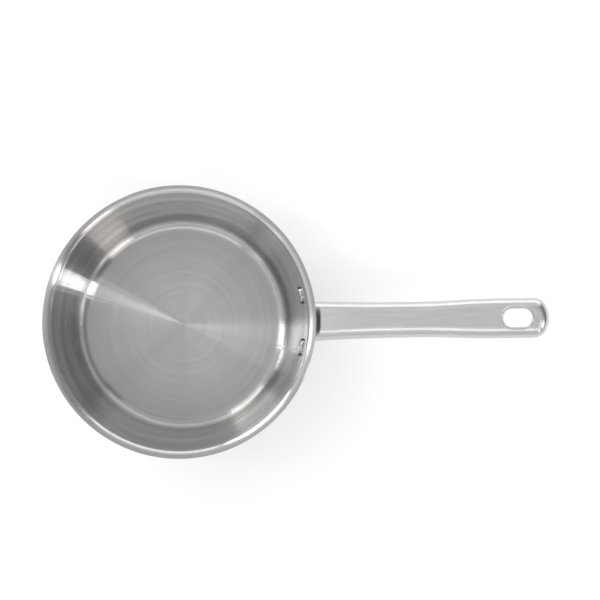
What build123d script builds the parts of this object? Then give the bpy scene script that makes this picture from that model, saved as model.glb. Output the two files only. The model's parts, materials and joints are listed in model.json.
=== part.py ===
from build123d import *
import math
import os

# A clad saucier pan with a riveted hollow handle, in millimetres.
# The origin is the centre of the base's underside, on the bowl's axis.
# +X runs out along the handle, and +Z is up.
# Slopes and angles are in degrees, and a slope is measured from the horizontal.

# Bowl: the outer edge of the rim, the height of the rim's top, and the inner surface's line
rim_diameter = 208
bowl_height = 72
floor_inset = 30
floor_corner_radius = 10
wall_top_slope = 84.5
flare_radius = 5
lip_width = 2.1
lip_slope = 5

# Clad sheet: two steel skins on an aluminium core
inner_skin_thickness = 0.4
core_thickness = 1.6
outer_skin_thickness = 0.5
lip_rounding_share = 0.65

# Rivets: placed by their heads on the wall's inner surface, and measured down from the rim's top
rivet_drop = 20
rivet_spacing = 40
rivet_shank_diameter = 6.4
rivet_hole_clearance = 0.1
rivet_head_diameter = 13.8
rivet_head_height = 3.2
rivet_tail_diameter = 9
rivet_tail_height = 1.9
rivet_rounding_share = 0.4
rivet_crown_share = 0.18

# Bracket: the saddle plate on the wall's outer surface, and the hollow tang inside the handle
bracket_thickness = 3
bracket_ear = 9
bracket_depth = 24
bracket_drop = 0.5
bracket_corner_share = 0.42
bracket_edge_radius = 0.8
tang_length = 14
tang_wall = 2
tang_clearance = 0.3

# Handle: its centre line is one arc from the bracket's face to the tip, and starts a little below the rivets
handle_root_drop = 0.5
handle_run = 178.7
handle_rise = 33
handle_root_slope = 12
handle_sheet = 1.2

# Handle widths along its plan outline, and its depths in side view
handle_root_width = 30.1
handle_waist_width = 27
handle_end_width = 30.2
handle_waist_share = 0.435
handle_widening_share = 0.79
handle_end_corner_share = 0.73
handle_end_bow_share = 1.26
handle_root_depth = 17
handle_middle_depth = 15
handle_tip_depth = 13.5
handle_top_rounding_share = 0.6
handle_bottom_rounding_share = 0.34

# The welded seam between the handle's shells: its level runs from -1 at the underside to 1 at the top
seam_level_share = -0.185
seam_groove_width = 0.4
seam_groove_depth = 0.15

# Hanging slot and the ferrule that lines it
slot_centre_to_tip = 23.4
slot_length = 22.2
slot_width = 14
ferrule_wall = 0.9
ferrule_hole_clearance = 0.1
ferrule_lip_width = 2.3
ferrule_end_lip_width = 1.5
ferrule_lip_height = 0.5
ferrule_lip_rounding_share = 0.8
ferrule_mouth_rounding_share = 0.65

# One overrun serves every cut that runs on past what it cuts
overrun = 6

sheet_thickness = inner_skin_thickness + core_thickness + outer_skin_thickness
core_depth = inner_skin_thickness
outer_skin_depth = inner_skin_thickness + core_thickness
bracket_face_depth = sheet_thickness + bracket_thickness


def outward(slope):
    """The unit direction that climbs outward at a slope, as (outward, up)."""
    return Vector(math.cos(math.radians(slope)), math.sin(math.radians(slope)))


def across(slope):
    """The unit direction square to that one, outward and down."""
    return Vector(math.sin(math.radians(slope)), -math.cos(math.radians(slope)))


# The inner surface's line, from the rim back to the floor: lip, flare arc, long wall arc, floor corner
lip_end = Vector(rim_diameter / 2 - across(lip_slope).X * sheet_thickness, bowl_height)
flare_centre = lip_end - outward(lip_slope) * lip_width + across(lip_slope) * flare_radius
wall_top = flare_centre - across(wall_top_slope) * flare_radius
corner_centre = Vector(rim_diameter / 2 - floor_inset, sheet_thickness + floor_corner_radius)

# The wall's circle leaves the flare at wall_top and runs tangent into the floor corner
corner_to_top = wall_top - corner_centre
wall_radius = (floor_corner_radius ** 2 - corner_to_top.dot(corner_to_top)) / (
    2 * (floor_corner_radius - corner_to_top.dot(across(wall_top_slope))))
wall_centre = wall_top - across(wall_top_slope) * wall_radius
centre_to_corner = corner_centre - wall_centre
wall_foot_slope = math.degrees(math.atan2(centre_to_corner.X, -centre_to_corner.Y))


def corner_point(slope, depth):
    """The floor corner's point at a slope, at a depth into the sheet from the inner surface."""
    return corner_centre + across(slope) * (floor_corner_radius + depth)


def wall_point(slope, depth):
    """The same on the wall arc."""
    return wall_centre + across(slope) * (wall_radius + depth)


def wall_slope(height, depth):
    """The slope of the wall arc where a depth into the sheet lies at a height."""
    return math.degrees(math.acos((wall_centre.Y - height) / (wall_radius + depth)))


def flare_point(slope, depth):
    """The same on the flare arc, which bends the other way."""
    return flare_centre - across(slope) * (flare_radius - depth)


def lip_point(depth):
    """The same at the lip's cut edge."""
    return lip_end + across(lip_slope) * depth


def floor_point(depth):
    """The same at the bowl's axis."""
    return Vector(0, sheet_thickness - depth)


def arc(point, start_slope, end_slope, depth):
    """The arc of corner_point, wall_point or flare_point between two slopes."""
    middle_slope = (start_slope + end_slope) / 2
    return ThreePointArc(point(start_slope, depth), point(middle_slope, depth), point(end_slope, depth))


def lower_line(depth):
    """The bowl's line at a depth, from the axis to the top of the wall arc."""
    return [
        Line(floor_point(depth), corner_point(0, depth)),
        arc(corner_point, 0, wall_foot_slope, depth),
        arc(wall_point, wall_foot_slope, wall_top_slope, depth),
    ]


def whole_line(depth):
    """The bowl's line at a depth, from the axis to the lip's cut edge."""
    return lower_line(depth) + [
        arc(flare_point, wall_top_slope, lip_slope, depth),
        Line(flare_point(lip_slope, depth), lip_point(depth)),
    ]


def spun(outline):
    """An outline of outward and up, spun about the bowl's axis, with its seam opposite the handle."""
    return Rot(0, 0, 180) * revolve(Plane.XZ * outline, Axis.Z)


def layer(near, far):
    """The outline of one layer of the bowl, between two depths."""
    edges = whole_line(near) + whole_line(far)
    edges.append(Line(lip_point(near), lip_point(far)))
    edges.append(Line(floor_point(near), floor_point(far)))
    return make_face(edges)


def rounded_lip(outline, depth, thickness):
    """That outline with the lip's corner at a depth rounded off."""
    corner = outline.vertices().sort_by_distance(tuple(lip_point(depth)))[0]
    return fillet(corner, thickness * lip_rounding_share)


def wall_band(near, far):
    """The ring between two depths, along the wall arc alone."""
    ends = (wall_foot_slope, wall_top_slope)
    edges = [arc(wall_point, *ends, depth) for depth in (near, far)]
    edges += [Line(wall_point(slope, near), wall_point(slope, far)) for slope in ends]
    return spun(make_face(edges))


def bowl_block(depth):
    """All that lies inside the bowl's line at a depth, up to the top of the wall arc."""
    top = wall_point(wall_top_slope, depth)
    edges = lower_line(depth)
    edges.append(Line(top, (0, top.Y)))
    edges.append(Line((0, top.Y), floor_point(depth)))
    return spun(make_face(edges))


# Rivets

rivet_height = bowl_height - rivet_drop
rivet_slope = wall_slope(rivet_height, 0)
rivet_head_reach = wall_point(rivet_slope, 0).X
rivet_turn = math.degrees(math.asin(rivet_spacing / 2 / rivet_head_reach))


def rivet_plane(turn):
    """The plane on the wall's inner surface at a rivet, facing out through the wall."""
    through = across(rivet_slope)
    radial = outward(turn)
    origin = (radial.X * rivet_head_reach, radial.Y * rivet_head_reach, rivet_height)
    outward_normal = (radial.X * through.X, radial.Y * through.X, through.Y)
    return Plane(origin, x_dir=(-radial.Y, radial.X, 0), z_dir=outward_normal)


rivet_planes = {"rivet_left": rivet_plane(rivet_turn), "rivet_right": rivet_plane(-rivet_turn)}


def rivet_hole(plane):
    """A rivet's drilled hole, through the wall and the bracket and past both."""
    reach = bracket_face_depth + overrun
    return plane * Cylinder((rivet_shank_diameter + rivet_hole_clearance) / 2, 2 * reach)


def button(diameter, height, root):
    """A low crowned button with a rounded edge, standing on the plane z = 0 with a root below it."""
    radius = diameter / 2
    rounding = height * rivet_rounding_share
    shoulder = height * (1 - rivet_crown_share)
    edges = [
        Line((0, -root), (radius, -root)),
        Line((radius, -root), (radius, shoulder - rounding)),
        CenterArc((radius - rounding, shoulder - rounding), rounding, 0, 90),
        TangentArc((0, height), (radius - rounding, shoulder), tangent=(1, 0)),
        Line((0, height), (0, -root)),
    ]
    return spun(make_face(edges))


def rivet(plane):
    """A solid rivet: its head and its formed tail each lie on the curved face that they clamp."""
    head = button(rivet_head_diameter, rivet_head_height, sheet_thickness / 2)
    tail = button(rivet_tail_diameter, rivet_tail_height, bracket_thickness / 2)
    shank_length = rivet_head_height / 2 + bracket_face_depth + rivet_tail_height / 2
    shank = Cylinder(rivet_shank_diameter / 2, shank_length, align=(Align.CENTER, Align.CENTER, Align.MIN))
    body = plane * Rot(180, 0, 0) * head - wall_band(0, sheet_thickness)
    body += plane * Pos(0, 0, bracket_face_depth) * tail - wall_band(sheet_thickness, bracket_face_depth)
    return body + plane * Pos(0, 0, -rivet_head_height / 2) * shank


# Handle form: one closed shape, which an inset makes smaller all round

handle_root_height = rivet_height - handle_root_drop
handle_root_reach = wall_point(wall_slope(handle_root_height, bracket_face_depth), bracket_face_depth).X
handle_reach = handle_root_reach + handle_run
handle_chord = Vector(handle_run, handle_rise)
handle_chord_slope = math.degrees(math.atan2(handle_chord.Y, handle_chord.X))
handle_half_turn = handle_root_slope - handle_chord_slope
handle_tip_slope = handle_chord_slope - handle_half_turn
handle_bend_radius = handle_chord.length / (2 * math.sin(math.radians(handle_half_turn)))
handle_root = Vector(handle_root_reach, handle_root_height)
handle_bend_centre = handle_root + across(handle_root_slope) * handle_bend_radius

# The form runs back into the bowl by the root's own depth, and the bracket's face cuts it off
form_root = handle_root_reach - handle_root_depth
thinnest_depth = min(handle_root_depth, handle_middle_depth, handle_tip_depth)


def handle_slope(share):
    """The centre line's slope at a share of the way from the root to the tip."""
    return handle_root_slope + (handle_tip_slope - handle_root_slope) * share


def handle_depth(share):
    """The handle's depth there, on the parabola through its root, middle and tip depths."""
    root = handle_root_depth * (1 - share) * (1 - 2 * share)
    middle = handle_middle_depth * 4 * share * (1 - share)
    tip = handle_tip_depth * share * (2 * share - 1)
    return root + middle + tip


def side_point(share, level, inset=0):
    """A point of the handle in side view, at a level from -1 at the underside to 1 at the top."""
    slope = handle_slope(share)
    rise = level * (handle_depth(share) / 2 - inset)
    return handle_bend_centre - across(slope) * (handle_bend_radius + rise)


def side_band(low, high, inset=0):
    """The solid between two levels, wider than the handle and longer than it at both ends."""
    margin_share = (handle_root_depth + overrun) / handle_run
    ends = (-margin_share, 1 + margin_share)
    edges = [
        ThreePointArc(side_point(ends[0], level, inset), side_point(1 / 2, level, inset),
                      side_point(ends[1], level, inset))
        for level in (low, high)
    ]
    edges += [Line(side_point(end, low, inset), side_point(end, high, inset)) for end in ends]
    return extrude(Plane.XZ * make_face(edges), handle_end_width, both=True)


def plan_outline(inset):
    """The handle from above: waisted sides and an end of three tangent arcs."""
    waist_reach = handle_root_reach + handle_run * handle_waist_share
    widened_reach = handle_root_reach + handle_run * handle_widening_share
    waist = handle_waist_width / 2 - inset
    end = handle_end_width / 2 - inset
    corner_radius = handle_end_width / 2 * handle_end_corner_share - inset
    end_radius = handle_end_width / 2 * handle_end_bow_share - inset

    flank_growth = (handle_root_width - handle_waist_width) / 2
    flank_run = waist_reach - handle_root_reach
    flank_radius = (flank_run ** 2 + flank_growth ** 2) / (2 * flank_growth)
    form_run = waist_reach - form_root
    root = waist + flank_radius - math.sqrt(flank_radius ** 2 - form_run ** 2)

    end_centre = Vector(handle_reach - inset - end_radius, 0)
    side_step = end - corner_radius
    corner = end_centre + Vector(math.sqrt((end_radius - corner_radius) ** 2 - side_step ** 2), side_step)
    join = end_centre + (corner - end_centre).normalized() * end_radius

    half_way = ((waist_reach + widened_reach) / 2, (waist + end) / 2)
    half = [
        TangentArc((waist_reach, waist), (form_root, root), tangent=(-1, 0)),
        TangentArc((waist_reach, waist), half_way, tangent=(1, 0)),
        TangentArc((widened_reach, end), half_way, tangent=(-1, 0)),
        Line((widened_reach, end), (corner.X, end)),
        TangentArc((corner.X, end), join, tangent=(1, 0)),
    ]
    edges = half + [mirror(edge, about=Plane.XZ) for edge in half]
    edges.append(ThreePointArc(join, (handle_reach - inset, 0), (join.X, -join.Y)))
    edges.append(Line((form_root, root), (form_root, -root)))
    return make_face(edges)


def rim_of(form, side):
    """The edges of the form's top or bottom face, apart from the straight one at its root."""
    face = form.faces().filter_by(lambda face: face.normal_at().Z * side > 1 / 2)[0]
    return face.edges().filter_by(Axis.Y, reverse=True)


def handle_form(inset=0):
    """The handle's whole shape, inset by a distance from its outer surface."""
    form = extrude(plan_outline(inset), handle_root_height + handle_rise + handle_tip_depth)
    form &= side_band(-1, 1, inset)
    form = fillet(rim_of(form, 1), thinnest_depth * handle_top_rounding_share - inset)
    return fillet(rim_of(form, -1), thinnest_depth * handle_bottom_rounding_share - inset)


# Hanging slot

slot_reach = handle_reach - slot_centre_to_tip
slot_slope = math.degrees(math.asin((handle_bend_centre.X - slot_reach) / handle_bend_radius))
slot_share = (handle_root_slope - slot_slope) / (handle_root_slope - handle_tip_slope)
slot_centre = handle_bend_centre - across(slot_slope) * handle_bend_radius
slot_plane = Plane(
    origin=(slot_centre.X, 0, slot_centre.Y),
    x_dir=(outward(slot_slope).X, 0, outward(slot_slope).Y),
    z_dir=(-across(slot_slope).X, 0, -across(slot_slope).Y))


def slot_prism(side_margin, end_margin, reach=handle_tip_depth):
    """The slot's shape, wider by margins, with a reach above and below the handle's centre line."""
    outline = SlotOverall(slot_length + 2 * end_margin, slot_width + 2 * side_margin)
    return extrude(slot_plane * outline, reach, both=True)


# Pieces

def bowl_pieces():
    holes = [rivet_hole(plane) for plane in rivet_planes.values()]
    inner = rounded_lip(layer(0, core_depth), 0, inner_skin_thickness)
    core = layer(core_depth, outer_skin_depth)
    outer = rounded_lip(layer(outer_skin_depth, sheet_thickness), sheet_thickness, outer_skin_thickness)
    return {
        "inner_skin": spun(inner) - holes,
        "aluminium_core": spun(core) - holes,
        "outer_skin": spun(outer) - holes,
    }


def bracket():
    """The saddle plate, with its outer edge rounded, and the hollow tang that the handle slides over."""
    face = Plane(origin=(0, 0, rivet_height - bracket_drop), x_dir=(0, 1, 0), z_dir=(1, 0, 0))
    bracket_width = rivet_spacing + 2 * bracket_ear
    outline = RectangleRounded(bracket_width, bracket_depth, bracket_depth * bracket_corner_share)
    ears = extrude(face * outline, rim_diameter)
    plate = wall_band(sheet_thickness, bracket_face_depth) & ears
    outer_face = plate.faces().sort_by(SortBy.AREA)[-1]
    plate = fillet(outer_face.edges(), bracket_edge_radius)
    plate -= [rivet_hole(plane) for plane in rivet_planes.values()]

    tang_inset = handle_sheet + tang_clearance
    tang = handle_form(tang_inset) - handle_form(tang_inset + tang_wall)
    tang -= bowl_block(sheet_thickness + bracket_thickness / 2)
    tang_end = Plane(origin=(handle_root_reach + tang_length, 0, 0), z_dir=(1, 0, 0))
    return plate + split(tang, tang_end, keep=Keep.BOTTOM)


def handle_shells():
    """The two pressed halves, welded along a seam with a fine groove."""
    outside = handle_form()
    groove_share = seam_groove_width / handle_middle_depth
    groove = outside - handle_form(seam_groove_depth)
    groove &= side_band(seam_level_share - groove_share, seam_level_share + groove_share)
    whole = outside - handle_form(handle_sheet) - groove
    whole -= bowl_block(bracket_face_depth)
    ferrule_hole_margin = ferrule_wall + ferrule_hole_clearance
    whole -= slot_prism(ferrule_hole_margin, ferrule_hole_margin)
    below = side_band(-2, seam_level_share)
    return {"handle_upper_shell": whole - below, "handle_lower_shell": whole & below}


def ferrule():
    """The slot's lining, with a flat lip above and below that is rounded inside and out."""
    lip_reach = handle_depth(slot_share) / 2 + ferrule_lip_height
    lining = slot_prism(ferrule_lip_width, ferrule_end_lip_width, lip_reach) - slot_prism(0, 0)
    for side in (1, -1):
        edge = lip_face(lining, side).outer_wire().edges()
        lining = fillet(edge, ferrule_lip_height * ferrule_lip_rounding_share)
        mouth = lip_face(lining, side).inner_wires()[0].edges()
        lining = fillet(mouth, ferrule_wall * ferrule_mouth_rounding_share)
    return lining - (handle_form() - slot_prism(ferrule_wall, ferrule_wall))


def lip_face(lining, side):
    """The flat face of the upper or the lower lip."""
    return max(lining.faces(), key=lambda face: face.normal_at().Z * side)


pieces = bowl_pieces()
pieces["handle_bracket"] = bracket()
pieces.update(handle_shells())
pieces["slot_ferrule"] = ferrule()
pieces.update({name: rivet(plane) for name, plane in rivet_planes.items()})

os.makedirs("parts", exist_ok=True)
for name, piece in pieces.items():
    export_step(piece, f"parts/{name}.step")
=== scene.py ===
import bpy
import json
import math
from mathutils import Matrix, Vector


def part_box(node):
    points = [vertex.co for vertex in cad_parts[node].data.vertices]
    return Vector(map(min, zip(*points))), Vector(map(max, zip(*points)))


# The looks of a clad steel saucier pan.
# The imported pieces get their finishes, and a pale floor, soft studio light and the camera are added.
# Lengths are in metres, angles in degrees. Azimuths are anticlockwise from +X, where the handle points.

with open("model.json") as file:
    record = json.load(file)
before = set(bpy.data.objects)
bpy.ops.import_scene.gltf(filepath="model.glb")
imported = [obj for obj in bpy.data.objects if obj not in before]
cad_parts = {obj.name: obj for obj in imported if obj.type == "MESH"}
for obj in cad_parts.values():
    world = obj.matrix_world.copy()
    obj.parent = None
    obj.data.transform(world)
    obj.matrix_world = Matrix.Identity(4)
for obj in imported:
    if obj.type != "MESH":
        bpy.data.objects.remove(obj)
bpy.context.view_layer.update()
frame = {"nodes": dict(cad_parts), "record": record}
nodes = frame["nodes"]
MM = 0.001

# The photograph's view: a camera high over the pan, which looks almost straight down.
# The point plumb below it and the rim's centre are places in the picture, from its upper left corner.
IMAGE_PX = 600
FOCAL_PX = 2150
PLUMB_POINT_PX = (300, 387)
RIM_CENTRE_PX = (179.0, 321.7)
CAMERA_HEIGHT = 1.70
SENSOR_MM = 36

# The angle by which the handle climbs across the picture
HANDLE_RISE = 0.56

# White seen by the camera and by reflections
WHITE = (1, 1, 1, 1)

# Heights on the bowl: its finish changes within the blend on either side of the flare's start,
# and between the blend's foot and its top above the floor
BOWL_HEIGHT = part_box("inner_skin")[1].z
FLARE_START = BOWL_HEIGHT - 6 * MM
FLARE_BLEND = 1.5 * MM
FLOOR_HEIGHT = 2.5 * MM
FLOOR_BLEND_FOOT = 0.5 * MM
FLOOR_BLEND_TOP = 2 * MM


class Graph:
    """Adds and links the nodes of one material or world."""

    def __init__(self, owner):
        owner.use_nodes = True
        self.tree = owner.node_tree
        self.tree.nodes.clear()

    def add(self, kind, inputs=(), **settings):
        """A node with its settings, and its inputs linked or set by name or number."""
        node = self.tree.nodes.new(kind)
        for key, value in settings.items():
            setattr(node, key, value)
        for key, value in dict(inputs).items():
            self.fill(node.inputs[key], value)
        return node

    def fill(self, socket, value):
        """Links an input to another node's output, or gives it a plain value."""
        if isinstance(value, bpy.types.NodeSocket):
            self.tree.links.new(value, socket)
        else:
            socket.default_value = value

    def math(self, operation, *values):
        return self.add("ShaderNodeMath", dict(enumerate(values)), operation=operation).outputs[0]

    def vector(self, operation, *values):
        node = self.add("ShaderNodeVectorMath", dict(enumerate(values)), operation=operation)
        return node.outputs["Value" if operation in ("LENGTH", "DOT_PRODUCT") else "Vector"]

    def scaled(self, vector, factor):
        return self.add("ShaderNodeVectorMath", {0: vector, "Scale": factor}, operation="SCALE").outputs[0]

    def distance(self, value, middle):
        """How far a value lies from a middle, on either side."""
        return self.math("ABSOLUTE", self.math("SUBTRACT", value, middle))

    def between(self, value, low, high, to_low=0, to_high=1):
        """A value carried smoothly from one range to another."""
        inputs = {"Value": value, "From Min": low, "From Max": high, "To Min": to_low, "To Max": to_high}
        return self.add("ShaderNodeMapRange", inputs, interpolation_type="SMOOTHSTEP").outputs[0]

    def shift(self, factor, start, end):
        """A value that moves smoothly from its start to its end as a factor goes from 0 to 1."""
        return self.between(factor, 0, 1, start, end)

    def contrasted(self, value, contrast):
        """A value between 0 and 1, with its distance from the middle multiplied by a contrast."""
        return self.math("MULTIPLY_ADD", self.math("SUBTRACT", value, 0.5), contrast, 0.5)

    def noise(self, vector, scale=1, detail=2):
        inputs = {"Vector": vector, "Scale": scale, "Detail": detail}
        return self.add("ShaderNodeTexNoise", inputs).outputs[0]

    def place(self):
        """The point being shaded, in the pan's own frame."""
        return self.add("ShaderNodeTexCoord").outputs["Object"]

    def normal(self):
        return self.add("ShaderNodeNewGeometry").outputs["Normal"]

    def parts(self, vector):
        return self.add("ShaderNodeSeparateXYZ", {0: vector}).outputs

    def joined(self, x, y, z):
        return self.add("ShaderNodeCombineXYZ", {0: x, 1: y, 2: z}).outputs[0]

    def mixed(self, first, second, factor):
        """The first colour turned into the second by a factor."""
        mix = self.add("ShaderNodeMix", {"Factor": factor}, data_type="RGBA")
        for name, value in (("A", first), ("B", second)):
            socket = [one for one in mix.inputs if one.name == name and one.type == "RGBA"][0]
            self.fill(socket, value)
        return [one for one in mix.outputs if one.type == "RGBA"][0]

    def darkened(self, steel, amount, factor):
        """A metal's colour, darker by up to an amount where the factor is low."""
        dark = [channel * (1 - amount) for channel in steel]
        return self.mixed(opaque(dark), opaque(steel), factor)

    def bumped(self, height, depth, normal=None, strength=1):
        """The surface's normal, or a given one, bent by a height map of which one unit is a depth."""
        inputs = {"Height": height, "Distance": depth, "Strength": strength}
        if normal:
            inputs["Normal"] = normal
        return self.add("ShaderNodeBump", inputs).outputs[0]


def opaque(colour):
    return (*colour, 1)


class Marks:
    """Brushing marks of one size: their width and length, how deep they cut, and the noise's detail."""

    def __init__(self, width, length, depth, detail=2):
        self.width, self.length = width, length
        self.depth, self.detail = depth, detail


class Grooves:
    """Where brushing runs: a shaded point's coordinates and the direction of the grooves there."""

    def __init__(self, graph):
        self.graph = graph
        self.x, self.y, self.z = graph.parts(graph.place())

    def tangent(self):
        """The direction across the grooves, in which they spread a reflection."""
        graph = self.graph
        return graph.vector("NORMALIZE", graph.vector("CROSS_PRODUCT", self.direction, graph.normal()))


class Rings(Grooves):
    """Brushing that runs round the bowl's axis."""

    # The radius at which marks have the length that they are given
    MARKS_RADIUS = 72 * MM

    def __init__(self, graph):
        super().__init__(graph)
        flat = graph.joined(self.x, self.y, 0)
        self.outward = graph.vector("NORMALIZE", flat)
        self.radius = graph.vector("LENGTH", flat)
        self.direction = graph.joined(graph.math("MULTIPLY", self.y, -1), self.x, 0)

    def noise(self, marks):
        """Noise in streaks as wide and as long as the marks."""
        graph = self.graph
        across = graph.math("DIVIDE", graph.math("ADD", self.radius, self.z), marks.width)
        turn = graph.parts(graph.scaled(self.outward, self.MARKS_RADIUS / marks.length))
        return graph.noise(graph.joined(turn[0], turn[1], across), detail=marks.detail)


class Strokes(Grooves):
    """Brushing that runs along the handle."""

    def __init__(self, graph):
        super().__init__(graph)
        self.direction = (1, 0, 0)

    def noise(self, marks):
        """Noise in streaks as wide and as long as the marks."""
        graph = self.graph
        along = graph.math("DIVIDE", self.x, marks.length)
        across = graph.math("DIVIDE", self.y, marks.width)
        up = graph.math("DIVIDE", self.z, marks.width)
        return graph.noise(graph.joined(along, across, up), detail=marks.detail)


def new_material(name):
    material = bpy.data.materials.new(name)
    return material, Graph(material)


def metal(graph, colour, roughness, normal, anisotropy=0, tangent=None):
    """The one shader of every piece, and the material's output."""
    inputs = {
        "Base Color": colour,
        "Metallic": 1,
        "Roughness": roughness,
        "Normal": normal,
        "Anisotropic": anisotropy,
    }
    if tangent:
        inputs["Tangent"] = tangent
    shader = graph.add("ShaderNodeBsdfPrincipled", inputs)
    graph.add("ShaderNodeOutputMaterial", {"Surface": shader.outputs[0]})


# The turned inside: fine and broad rings, and slow waves up the wall
TURNED_STEEL = (0.758, 0.75, 0.739)
TURNED_ROUGHNESS = 0.19
FINE_RINGS = Marks(width=0.7 * MM, length=90 * MM, depth=0.006 * MM)
BROAD_RINGS = Marks(width=2.6 * MM, length=150 * MM, depth=0.05 * MM)
WAVES = Marks(width=19 * MM, length=110 * MM, depth=0.5 * MM, detail=3)
FINE_STRENGTH_ABOVE_FLOOR = 0.2
BROAD_STRENGTH_ON_FLOOR = 0.35
RINGS_DARKEN = 0.34
WALL_CONTRAST = 3
FLOOR_CONTRAST = 0.4

# Ticks that cross the rings, and the lean of the floor's grooves toward the axis
TICKS_SCALE = 40
TICKS_DEPTH = 0.4 * MM
FLOOR_LEAN = 0.05

# Painted shade: the floor's colour is darker than the wall's, most so at its edge under the wall
FLOOR_EDGE_RADIUS = 80 * MM
FLOOR_MIDDLE_RADIUS = 20 * MM
FLOOR_EDGE_PAINTED_SHADE = 0.66
FLOOR_MIDDLE_PAINTED_SHADE = 0.81

# The polished flare, which blends between two radii into a lip painted darker as shade
RIM_STEEL = (0.64, 0.633, 0.623)
RIM_ROUGHNESS = 0.21
LIP_PAINTED_SHADE = (0.46, 0.456, 0.45)
LIP_START = 100.4 * MM
LIP_END = 101.2 * MM

# A thin dark line of painted shade where the lip starts: its radius, how far its core and its edge lie from
# there, its shade
LINE_RADIUS = LIP_START
LINE_CORE = 0.1 * MM
LINE_EDGE = 0.6 * MM
LINE_SHADE = 0.78


class Inside(Rings):
    """The bowl's inside: its brushing, and how far a shaded point lies on the flare and on the floor."""

    def __init__(self, graph):
        super().__init__(graph)
        above_floor = graph.math("SUBTRACT", self.z, FLOOR_HEIGHT)
        self.on_floor = graph.between(above_floor, FLOOR_BLEND_TOP, FLOOR_BLEND_FOOT)
        self.on_flare = graph.between(self.z, FLARE_START - FLARE_BLEND, FLARE_START + FLARE_BLEND)
        self.broad = self.noise(BROAD_RINGS)
        self.waves = self.noise(WAVES)

    def bent_normal(self):
        """The normal, leant toward the axis on the floor, and bent by rings, waves and ticks."""
        graph = self.graph
        below_flare = graph.shift(self.on_flare, 1, 0)
        lean = graph.scaled(self.outward, graph.math("MULTIPLY", self.on_floor, -FLOOR_LEAN))
        normal = graph.vector("NORMALIZE", graph.vector("ADD", graph.normal(), lean))
        strength = graph.shift(self.on_floor, FINE_STRENGTH_ABOVE_FLOOR, 1)
        normal = graph.bumped(self.noise(FINE_RINGS), FINE_RINGS.depth, normal, strength)
        strength = graph.shift(self.on_floor, below_flare, BROAD_STRENGTH_ON_FLOOR)
        normal = graph.bumped(self.broad, BROAD_RINGS.depth, normal, strength)
        strength = graph.math("SUBTRACT", below_flare, self.on_floor)
        normal = graph.bumped(self.waves, WAVES.depth, normal, strength)
        ticks = graph.noise(self.outward, TICKS_SCALE)
        ticks = graph.math("MULTIPLY", ticks, self.radius)
        return graph.bumped(ticks, TICKS_DEPTH, normal, below_flare)

    def turned_colour(self):
        """The wall's and the floor's colour: waves on the wall, broad rings and painted shade on the floor.
        """
        graph = self.graph
        bands = graph.mixed(self.waves, self.broad, self.on_floor)
        bands = graph.contrasted(bands, graph.shift(self.on_floor, WALL_CONTRAST, FLOOR_CONTRAST))
        steel = graph.darkened(TURNED_STEEL, RINGS_DARKEN, bands)
        painted_floor_shade = graph.between(self.radius, FLOOR_EDGE_RADIUS, FLOOR_MIDDLE_RADIUS,
                                    FLOOR_EDGE_PAINTED_SHADE, FLOOR_MIDDLE_PAINTED_SHADE)
        # Painted shade: the floor's steel is darkened, most toward the wall
        return graph.scaled(steel, graph.shift(self.on_floor, 1, painted_floor_shade))

    def rim_colour(self):
        """The polished flare's colour, and the painted shade of the dark line and of the darker lip."""
        graph = self.graph
        lip = graph.between(self.radius, LIP_START, LIP_END)
        # Painted shade: the lip gets darker steel than the flare
        steel = graph.mixed(opaque(RIM_STEEL), opaque(LIP_PAINTED_SHADE), lip)
        # Painted shade: a thin dark line at the crease where the lip starts
        off_line = graph.distance(self.radius, LINE_RADIUS)
        return graph.scaled(steel, graph.between(off_line, LINE_CORE, LINE_EDGE, LINE_SHADE, 1))


def inside_finish():
    """Turned rings in the bowl, of which only faint fine ones run on over the polished flare and lip."""
    material, graph = new_material("brushed_inside")
    inside = Inside(graph)
    colour = graph.mixed(inside.turned_colour(), inside.rim_colour(), inside.on_flare)
    roughness = graph.shift(inside.on_flare, TURNED_ROUGHNESS, RIM_ROUGHNESS)
    metal(graph, colour, roughness, inside.bent_normal(), anisotropy=1, tangent=inside.tangent())
    return material


# The polished outside: faint rings and slow waves
STEEL = (0.6, 0.595, 0.588)
OUTSIDE_ROUGHNESS = 0.2
OUTSIDE_ANISOTROPY = 0.9
OUTSIDE_RINGS = Marks(width=0.8 * MM, length=60 * MM, depth=0.006 * MM)
OUTSIDE_WAVES = Marks(width=9 * MM, length=160 * MM, depth=0.25 * MM, detail=3)
OUTSIDE_DARKEN = 0.16
OUTSIDE_CONTRAST = 2


def outside_finish():
    material, graph = new_material("polished_outside")
    rings = Rings(graph)
    waves = rings.noise(OUTSIDE_WAVES)
    normal = graph.bumped(rings.noise(OUTSIDE_RINGS), OUTSIDE_RINGS.depth)
    normal = graph.bumped(waves, OUTSIDE_WAVES.depth, normal)
    colour = graph.darkened(STEEL, OUTSIDE_DARKEN, graph.contrasted(waves, OUTSIDE_CONTRAST))
    metal(graph, colour, OUTSIDE_ROUGHNESS, normal, OUTSIDE_ANISOTROPY, rings.tangent())
    return material


# The handle: fine strokes along it, in broader faint stripes
HANDLE_STEEL = (0.65, 0.646, 0.642)
HANDLE_ROUGHNESS = 0.18
HANDLE_DARKEN = 0.16
STROKES_DEPTH = 0.006 * MM
FINE_STROKES = Marks(width=0.5 * MM, length=25 * MM, depth=STROKES_DEPTH)
BROAD_STROKES = Marks(width=3 * MM, length=120 * MM, depth=STROKES_DEPTH, detail=3)


def handle_finish():
    """Strokes of both sizes cut equally deep, so one bump takes their sum."""
    material, graph = new_material("handle_steel")
    strokes = Strokes(graph)
    broad = strokes.noise(BROAD_STROKES)
    both = graph.math("ADD", strokes.noise(FINE_STROKES), broad)
    normal = graph.bumped(both, STROKES_DEPTH)
    colour = graph.darkened(HANDLE_STEEL, HANDLE_DARKEN, broad)
    metal(graph, colour, HANDLE_ROUGHNESS, normal, anisotropy=1, tangent=strokes.tangent())
    return material


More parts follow.
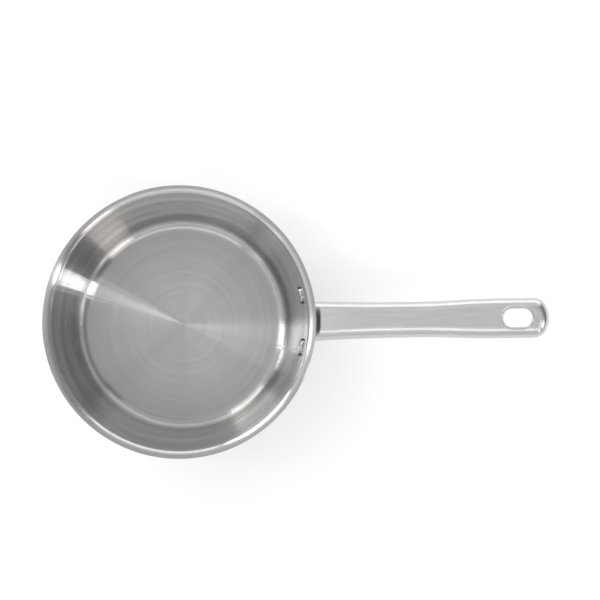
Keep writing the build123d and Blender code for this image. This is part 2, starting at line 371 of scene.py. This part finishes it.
# The core's matt cut edge, drawn in very fine rings
ALUMINIUM = (0.72, 0.73, 0.74)
CORE_ROUGHNESS = 0.4
CORE_RINGS = Marks(width=0.3 * MM, length=20 * MM, depth=0.01 * MM)
CORE_DARKEN = 0.08


def core_finish():
    material, graph = new_material("core")
    lines = Rings(graph).noise(CORE_RINGS)
    colour = graph.darkened(ALUMINIUM, CORE_DARKEN, lines)
    metal(graph, colour, CORE_ROUGHNESS, graph.bumped(lines, CORE_RINGS.depth))
    return material


# The satin of the bracket and the slot's lining, and the mirror polish of the rivets
SATIN_STEEL = (0.62, 0.615, 0.61)
RIVET_STEEL = (0.46, 0.455, 0.45)
GRAIN_DETAIL = 3


def grained_finish(name, steel, roughness, grain_size, grain_depth, darken):
    """A finish with a fine grain that runs in no direction."""
    material, graph = new_material(name)
    grain = graph.noise(graph.place(), 1 / grain_size, GRAIN_DETAIL)
    metal(graph, graph.darkened(steel, darken, grain), roughness, graph.bumped(grain, grain_depth))
    return material


def satin_finish():
    return grained_finish("bracket_steel", SATIN_STEEL, roughness=0.2,
                          grain_size=0.8 * MM, grain_depth=0.004 * MM, darken=0.06)


def polished_finish():
    return grained_finish("polished_rivet", RIVET_STEEL, roughness=0.04,
                          grain_size=1.5 * MM, grain_depth=0.01 * MM, darken=0.05)


def dress():
    """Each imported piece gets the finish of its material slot."""
    finishes = {
        "brushed_inside": inside_finish(),
        "polished_outside": outside_finish(),
        "core": core_finish(),
        "handle_steel": handle_finish(),
        "bracket_steel": satin_finish(),
        "polished_rivet": polished_finish(),
    }
    for subpart in frame["record"]["subparts"]:
        mesh = nodes[subpart["node"]].data
        mesh.materials.clear()
        mesh.materials.append(finishes[subpart["material_slot"]])


# The floor under the pan: greys of its two versions, and the glow that brings the second up to white
FLOOR_SIZE = 12
FLOOR_GAP = 0.1 * MM
LIGHTING_GREY = (0.8, 0.8, 0.8)
SEEN_GREY = (0.75, 0.75, 0.75)
SEEN_GLOW = 0.32


def floor():
    """A pale floor that keeps the pan's soft shadow, and that the camera and the metal see as white."""
    material, graph = new_material("floor")
    path = graph.add("ShaderNodeLightPath").outputs
    seen = graph.math("MAXIMUM", path["Is Camera Ray"], path["Is Glossy Ray"])
    seen = graph.math("MAXIMUM", seen, path["Is Transmission Ray"])
    pale = graph.add("ShaderNodeBsdfDiffuse", {"Color": opaque(LIGHTING_GREY)}).outputs[0]
    shaded = graph.add("ShaderNodeBsdfDiffuse", {"Color": opaque(SEEN_GREY)}).outputs[0]
    glow = graph.add("ShaderNodeEmission", {"Color": WHITE, "Strength": SEEN_GLOW}).outputs[0]
    white = graph.add("ShaderNodeAddShader", {0: shaded, 1: glow}).outputs[0]
    surface = graph.add("ShaderNodeMixShader", {0: seen, 1: pale, 2: white}).outputs[0]
    graph.add("ShaderNodeOutputMaterial", {"Surface": surface})

    bpy.ops.mesh.primitive_plane_add(size=FLOOR_SIZE)
    plane = bpy.context.object
    plane.name = "floor"
    plane.location.z = -FLOOR_GAP
    plane.data.materials.append(material)


# The panels' faint tints
PLAIN = (1, 1, 1)
COOL = (0.96, 0.99, 1.04)
FAINT_COOL = (0.98, 0.99, 1.03)
WARM = (1.04, 0.98, 0.97)


class Panel:
    """A bright panel of the studio, at an azimuth and elevation, and as wide and high as the pan sees it.

    Its edges fade over the blur. All but the radiance and the tint are in degrees.
    """

    def __init__(self, azimuth, elevation, width, height, radiance, blur, tint=PLAIN):
        self.azimuth, self.elevation = azimuth, elevation
        self.width, self.height = width, height
        self.colour = [channel * radiance for channel in tint]
        self.blur = blur

    def light(self, graph, direction, elevation):
        """The panel's light from a direction, which has that elevation in radians."""
        around = math.radians(self.azimuth)
        ahead = graph.vector("DOT_PRODUCT", direction, (math.cos(around), math.sin(around), 0))
        aside = graph.vector("DOT_PRODUCT", direction, (-math.sin(around), math.cos(around), 0))
        turned = graph.math("ABSOLUTE", graph.math("ARCTAN2", aside, ahead))
        raised = graph.distance(elevation, math.radians(self.elevation))
        in_width = self.within(graph, turned, self.width)
        in_height = self.within(graph, raised, self.height)
        return graph.scaled(self.colour, graph.math("MULTIPLY", in_width, in_height))

    def within(self, graph, angle, size):
        """How far an angle from the panel's middle, in radians, still lies on it."""
        edge, blur = math.radians(size / 2), math.radians(self.blur / 2)
        return graph.between(angle, edge + blur, edge - blur)


# Each panel's azimuth, elevation, width, height, radiance, blur and tint
PANELS = {
    "zenith": Panel(0, 84, 360, 12, 0.5, 4),
    "high_west": Panel(180, 71, 150, 14, 0.5, 4),
    "high_east": Panel(0, 71, 210, 14, 0.2, 4),
    "upper_north": Panel(98, 54, 84, 20, 0.65, 4),
    "upper_west": Panel(182, 54, 84, 20, 1.0, 4),
    "upper_south": Panel(262, 58, 72, 12, 2.4, 4, FAINT_COOL),
    "upper_east": Panel(8, 62, 70, 30, 0.3, 6),
    "mid_north": Panel(85, 28, 80, 32, 0.5, 8),
    "mid_west": Panel(180, 28, 80, 32, 0.45, 8),
    "mid_south_west": Panel(235, 28, 40, 32, 0.65, 8),
    "mid_south": Panel(285, 28, 60, 32, 0.5, 8),
    "low_north": Panel(80, 6, 60, 20, 2.1, 3, FAINT_COOL),
    "low_north_west": Panel(130, 8, 34, 24, 4.4, 3),
    "low_west": Panel(180, 4, 68, 16, 0.2, 3),
    "low_south": Panel(265, 4, 100, 16, 0.4, 3),
    "north_west": Panel(131, 28, 22, 42, 1.7, 2),
    "west": Panel(171, 45, 13, 44, 2.3, 3, COOL),
    "south_east": Panel(307, 40, 17, 44, 1.3, 4, WARM),
    "strip": Panel(339, 66, 7, 32, 3.5, 1.5, COOL),
    "strip_foot": Panel(339, 33, 7, 34, 6.5, 1.5, COOL),
}
ROOM_RADIANCE = 0.28


def studio():
    """A dim even room with soft panels, for the metal to reflect, and white for the camera."""
    world = bpy.data.worlds.new("room")
    bpy.context.scene.world = world
    graph = Graph(world)
    direction = graph.add("ShaderNodeTexCoord").outputs["Generated"]
    elevation = graph.math("ARCSINE", graph.parts(direction)[2])
    light = graph.joined(ROOM_RADIANCE, ROOM_RADIANCE, ROOM_RADIANCE)
    for panel in PANELS.values():
        light = graph.vector("ADD", light, panel.light(graph, direction, elevation))
    room = graph.add("ShaderNodeBackground", {"Color": light, "Strength": 1}).outputs[0]
    white = graph.add("ShaderNodeBackground", {"Color": WHITE, "Strength": 1}).outputs[0]
    path = graph.add("ShaderNodeLightPath").outputs
    surface = graph.add("ShaderNodeMixShader", {0: path["Is Camera Ray"], 1: room, 2: white}).outputs[0]
    graph.add("ShaderNodeOutputWorld", {"Surface": surface})


def camera():
    """The photograph's view, from where its plumb point and the rim's centre lie in the picture."""
    data = bpy.data.cameras.new("camera")
    data.sensor_width = SENSOR_MM
    data.lens = FOCAL_PX / IMAGE_PX * SENSOR_MM
    view = bpy.data.objects.new("camera", data)
    bpy.context.scene.collection.objects.link(view)
    bpy.context.scene.camera = view

    metres_per_px = (CAMERA_HEIGHT - BOWL_HEIGHT) / FOCAL_PX
    across = (PLUMB_POINT_PX[0] - RIM_CENTRE_PX[0]) * metres_per_px
    up = (RIM_CENTRE_PX[1] - PLUMB_POINT_PX[1]) * metres_per_px
    turn = Matrix.Rotation(math.radians(-HANDLE_RISE), 3, "Z")
    tilt = Matrix.Rotation(math.atan((PLUMB_POINT_PX[1] - IMAGE_PX / 2) / FOCAL_PX), 3, "X")
    view.location = turn @ Vector((across, up, CAMERA_HEIGHT))
    view.rotation_euler = (turn @ tilt).to_euler()


dress()
floor()
studio()
camera()
bpy.context.scene.view_settings.view_transform = "Standard"
